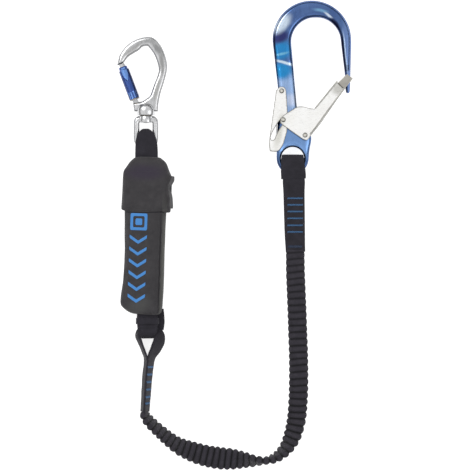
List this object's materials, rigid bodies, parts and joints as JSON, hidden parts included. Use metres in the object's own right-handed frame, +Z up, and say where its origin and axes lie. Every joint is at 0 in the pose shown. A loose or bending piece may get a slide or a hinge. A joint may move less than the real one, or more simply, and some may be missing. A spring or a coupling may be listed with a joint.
{
  "type": "shock absorbing lanyard",
  "caption": "Elastic webbing lanyard with a pouched tear-webbing energy absorber, a swivel carabiner at one end and a large scaffold hook at the other.",
  "frame": {"origin": "on the floor that the lanyard lies on, below the middle of the box around everything but the elastic webbing", "axes": "+Y from the webbing's bend towards the connectors, +Z up off the floor, +X from the absorber to the scaffold hook"},
  "size_m": [0.3296, 0.6509, 0.036],
  "materials": {
    "elastic_web": "ribbed elastic webbing, matt",
    "webbing": "woven polyamide webbing",
    "pouch_cloth": "coated pouch cloth, matt",
    "hook_and_loop": "hook and loop tape",
    "blue_anodised": "forged, polished and blue anodised",
    "blue_sleeve": "turned and blue anodised",
    "polished_aluminium": "forged and polished",
    "sheet_steel": "pressed sheet, bright zinc",
    "satin_steel": "satin",
    "spring_steel": "drawn wire"
  },
  "bodies": {
    "lanyard": {"elastic_webbing": "elastic_web", "lower_loop": "webbing", "upper_loop": "webbing", "wear_sleeve": "webbing"},
    "absorber": {"absorber_bottom_loop": "webbing", "loop_keeper": "pouch_cloth", "pouch_body": "pouch_cloth", "pouch_cap": "pouch_cloth", "tear_pack": "webbing", "pack_band": "elastic_web", "absorber_top_loop": "webbing", "fastener_loops": "hook_and_loop"},
    "closure_tab": {"closure_tab": "pouch_cloth", "fastener_hooks": "hook_and_loop"},
    "swivel_eye": {"swivel_eye": "polished_aluminium"},
    "carabiner": {"carabiner_frame": "polished_aluminium", "swivel_stud": "satin_steel", "swivel_washer": "satin_steel", "carabiner_gate_pin": "satin_steel"},
    "carabiner_gate": {"carabiner_gate": "polished_aluminium", "sleeve_guide_pin": "satin_steel", "sleeve_spring": "spring_steel"},
    "sleeve_carrier": {"sleeve_thrust_ring": "satin_steel"},
    "lock_sleeve": {"lock_sleeve": "blue_sleeve"},
    "hook": {"hook_body": "blue_anodised", "hook_gate_rivet": "satin_steel", "hook_lever_rivet": "satin_steel", "lever_leaf_spring": "spring_steel"},
    "hook_gate": {"hook_gate": "sheet_steel", "hook_gate_nose": "satin_steel", "hook_gate_spring": "spring_steel", "hook_gate_washer": "satin_steel", "cam_stud_front": "satin_steel", "cam_stud_back": "satin_steel"},
    "hook_lever": {"hook_lever": "sheet_steel"}
  },
  "joints": [
    {"name": "absorber_link", "type": "hinge", "parent": "lanyard", "child": "absorber", "pos_m": [-0.1225, -0.176, 0.01], "axis": [1, 0, 0], "range_deg": [-55, 55]},
    {"name": "closure_tab_hinge", "type": "hinge", "parent": "absorber", "child": "closure_tab", "pos_m": [-0.09067, 0.01727, 0.0314], "axis": [-0.0342, -0.9994, 0], "range_deg": [0, 100]},
    {"name": "eye_link", "type": "hinge", "parent": "absorber", "child": "swivel_eye", "pos_m": [-0.1242, 0.0885, 0.0094], "axis": [1, 0, 0], "range_deg": [-60, 60]},
    {"name": "swivel", "type": "hinge", "parent": "swivel_eye", "child": "carabiner", "pos_m": [-0.1242, 0.127, 0.0094], "axis": [0, 1, 0], "continuous": true},
    {"name": "carabiner_gate_hinge", "type": "hinge", "parent": "carabiner", "child": "carabiner_gate", "pos_m": [-0.1372, 0.1429, 0.0094], "axis": [0, 0, -1], "range_deg": [0, 27], "stiffness_Nm_per_rad": 0.1, "springref_deg": -28.65},
    {"name": "sleeve_lift", "type": "slide", "parent": "carabiner_gate", "child": "sleeve_carrier", "axis": [-0.3518, 0.9361, 0], "range_m": [0, 0.003], "stiffness_N_per_m": 300, "springref_m": -0.004},
    {"name": "sleeve_twist", "type": "hinge", "parent": "sleeve_carrier", "child": "lock_sleeve", "pos_m": [-0.1372, 0.1429, 0.0094], "axis": [-0.3518, 0.9361, 0], "range_deg": [0, 90], "stiffness_Nm_per_rad": 0.01, "springref_deg": -45.84},
    {"name": "hook_swing", "type": "hinge", "parent": "lanyard", "child": "hook", "pos_m": [0.0813, 0.0666, 0.0141], "axis": [0, 0, 1], "range_deg": [-30, 30]},
    {"name": "hook_gate_hinge", "type": "hinge", "parent": "hook", "child": "hook_gate", "pos_m": [0.0984, 0.0988, 0.0141], "axis": [0, 0, 1], "range_deg": [0, 32], "stiffness_Nm_per_rad": 0.3, "springref_deg": -22.92},
    {"name": "hook_lever_hinge", "type": "hinge", "parent": "hook", "child": "hook_lever", "pos_m": [0.0658, 0.1607, 0.0141], "axis": [0, 0, 1], "range_deg": [0, 5.4]}
  ],
  "couplings": [
    {"joint": "hook_lever_hinge", "follows": "hook_gate_hinge", "ratio": 0.16667}
  ]
}
